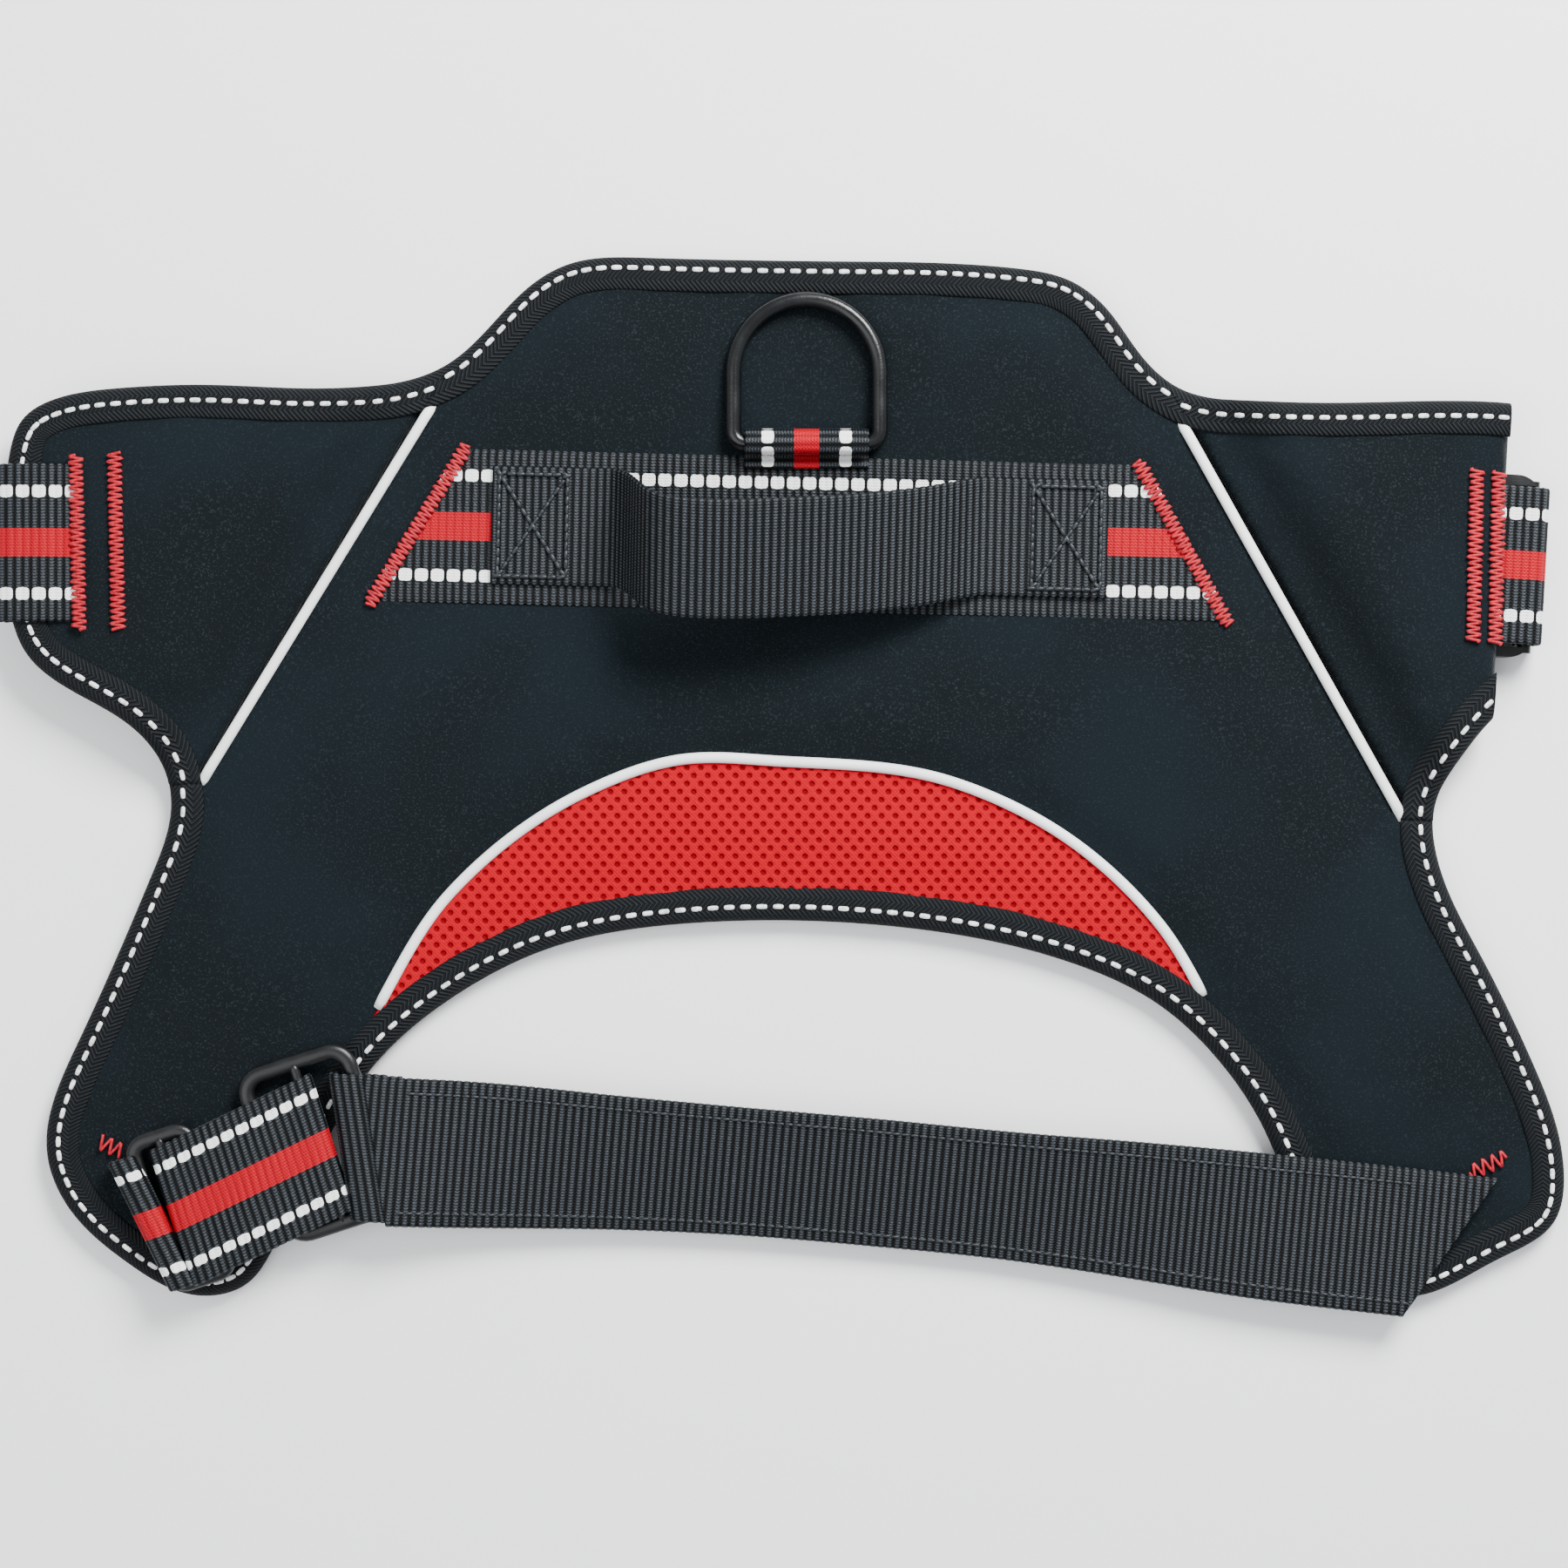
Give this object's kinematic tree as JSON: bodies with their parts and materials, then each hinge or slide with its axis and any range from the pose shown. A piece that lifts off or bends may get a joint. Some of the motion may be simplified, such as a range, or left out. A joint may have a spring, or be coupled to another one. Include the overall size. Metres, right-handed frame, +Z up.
{
  "type": "padded dog vest harness",
  "caption": "Padded dog vest harness laid flat, with hinged side wings, grab handle, swinging lead ring, webbing straps, a side-release buckle and an adjustable chest strap.",
  "frame": {"origin": "on the resting plane, under the middle of the whole outline", "axes": "+X across the vest from the left wing to the right wing, +Y from the neck opening to the tail edge, +Z up from the lining to the grab handle"},
  "size_m": [0.5063, 0.3383, 0.0429],
  "materials": {
    "cover": "near-black twill-woven polyester",
    "lining": "black air-mesh lining",
    "foam": "open padding foam, sealed inside the cloth",
    "binding": "black herringbone binding tape with white reflective stitches",
    "red_mesh": "vivid red air mesh with small holes",
    "reflective_piping": "off-white reflective piping",
    "striped_webbing": "black ribbed webbing with a red centre stripe and two rows of white dashes",
    "plain_webbing": "black ribbed webbing with lengthwise stitching",
    "red_thread": "pinkish red bonded thread",
    "black_thread": "black bonded thread",
    "black_plastic": "satin black acetal",
    "coated_metal": "black electrophoretic coating on steel"
  },
  "bodies": {
    "vest": {"centre_cover": "cover", "centre_foam": "foam", "centre_lining": "lining", "centre_binding": "binding", "mesh_insert": "red_mesh", "crescent_piping": "reflective_piping", "left_seam_piping": "reflective_piping", "right_seam_piping": "reflective_piping", "back_strap": "striped_webbing", "back_strap_stitching": "red_thread", "handle_left_tab": "plain_webbing", "handle_right_tab": "plain_webbing", "handle_left_foot": "plain_webbing", "handle_right_foot": "plain_webbing", "handle_box_stitching": "black_thread", "lead_ring_loop": "striped_webbing", "chest_strap": "plain_webbing", "chest_strap_loop": "plain_webbing", "chest_anchor_strap": "striped_webbing", "chest_adjust_strap": "striped_webbing", "chest_bartacks": "red_thread"},
    "left_wing": {"left_binding": "binding", "left_cover": "cover", "left_foam": "foam", "left_lining": "lining", "left_side_strap": "striped_webbing", "left_wing_stitching_inner": "red_thread", "left_wing_stitching_outer": "red_thread", "buckle_male": "black_plastic"},
    "prong_upper": {"buckle_prong_upper": "black_plastic"},
    "prong_lower": {"buckle_prong_lower": "black_plastic"},
    "right_wing": {"right_binding": "binding", "right_cover": "cover", "right_foam": "foam", "right_lining": "lining", "right_side_strap": "striped_webbing", "right_wing_stitching": "red_thread", "buckle_female": "black_plastic"},
    "handle": {"handle": "plain_webbing"},
    "d_ring": {"d_ring": "coated_metal"},
    "chest_ring": {"chest_ring": "black_plastic"},
    "chest_slider": {"chest_slider": "black_plastic"}
  },
  "joints": [
    {"name": "left_wing_fold", "type": "hinge", "parent": "vest", "child": "left_wing", "pos_m": [-0.11595, 0.12239, 0.0078], "axis": [0.5221, 0.8529, 0], "range_deg": [0, 90]},
    {"name": "right_wing_fold", "type": "hinge", "parent": "vest", "child": "right_wing", "pos_m": [0.13088, 0.11643, 0.0078], "axis": [0.4883, -0.8727, 0], "range_deg": [0, 90]},
    {"name": "handle_swing", "type": "hinge", "parent": "vest", "child": "handle", "pos_m": [0.005, 0.0814, 0.0106], "axis": [-0.9997, 0.0236, 0], "range_deg": [0, 30], "deforming": ["handle_left_foot", "handle_right_foot"]},
    {"name": "d_ring_swing", "type": "hinge", "parent": "vest", "child": "d_ring", "pos_m": [0.0073, 0.1099, 0.01165], "axis": [1, 0, 0], "range_deg": [0, 90]},
    {"name": "prong_upper_flex", "type": "hinge", "parent": "left_wing", "child": "prong_upper", "pos_m": [-0.216, 0.0905, 0.0044], "axis": [0, 0, -1], "range_deg": [0, 7], "stiffness_Nm_per_rad": 0.3},
    {"name": "prong_lower_flex", "type": "hinge", "parent": "left_wing", "child": "prong_lower", "pos_m": [-0.216, 0.0645, 0.0044], "axis": [0, 0, 1], "range_deg": [0, 7], "stiffness_Nm_per_rad": 0.3},
    {"name": "chest_slider_slide", "type": "slide", "parent": "vest", "child": "chest_slider", "axis": [0.9003, 0.4352, 0], "range_m": [0, 0.012], "deforming": ["chest_adjust_strap", "chest_anchor_strap"]},
    {"name": "chest_ring_tilt", "type": "hinge", "parent": "vest", "child": "chest_ring", "pos_m": [-0.1496, -0.117, 0.0125], "axis": [0.309, -0.9511, 0], "range_deg": [0, 6], "deforming": ["chest_strap_loop"]}
  ]
}
